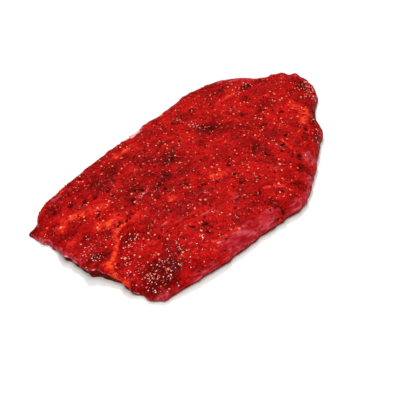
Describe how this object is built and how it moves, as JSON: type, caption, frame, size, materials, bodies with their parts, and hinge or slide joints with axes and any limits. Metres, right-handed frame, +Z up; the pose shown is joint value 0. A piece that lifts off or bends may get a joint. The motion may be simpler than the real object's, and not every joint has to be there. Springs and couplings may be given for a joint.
{
  "type": "marinated flank steak",
  "caption": "Whole raw flank steak in a red chilli and pepper marinade, lying flat, cut blunt at one end and narrowing at the other.",
  "frame": {"origin": "under the middle of the steak's outline box, on the surface that it rests on", "axes": "+X along the grain from the blunt cut end to the narrow end, +Y to the far long side in the picture, +Z up"},
  "size_m": [0.36, 0.208, 0.0222],
  "materials": {
    "marinated_meat": "raw beef under a wet red chilli and oil marinade, glossy and uneven",
    "cracked_pepper": "cracked black peppercorns under a trace of red oil, near black with brown breaks",
    "seeds": "pale seeds stained orange by the oil, smooth and glossy",
    "chilli_flakes": "scraps of dried chilli skin, dark red and oily",
    "garlic_granules": "wet garlic granules, pale pink and glossy",
    "ground_spice": "fine dark red ground spice"
  },
  "bodies": {
    "root": {"flank_steak": "marinated_meat"}
  },
  "joints": []
}
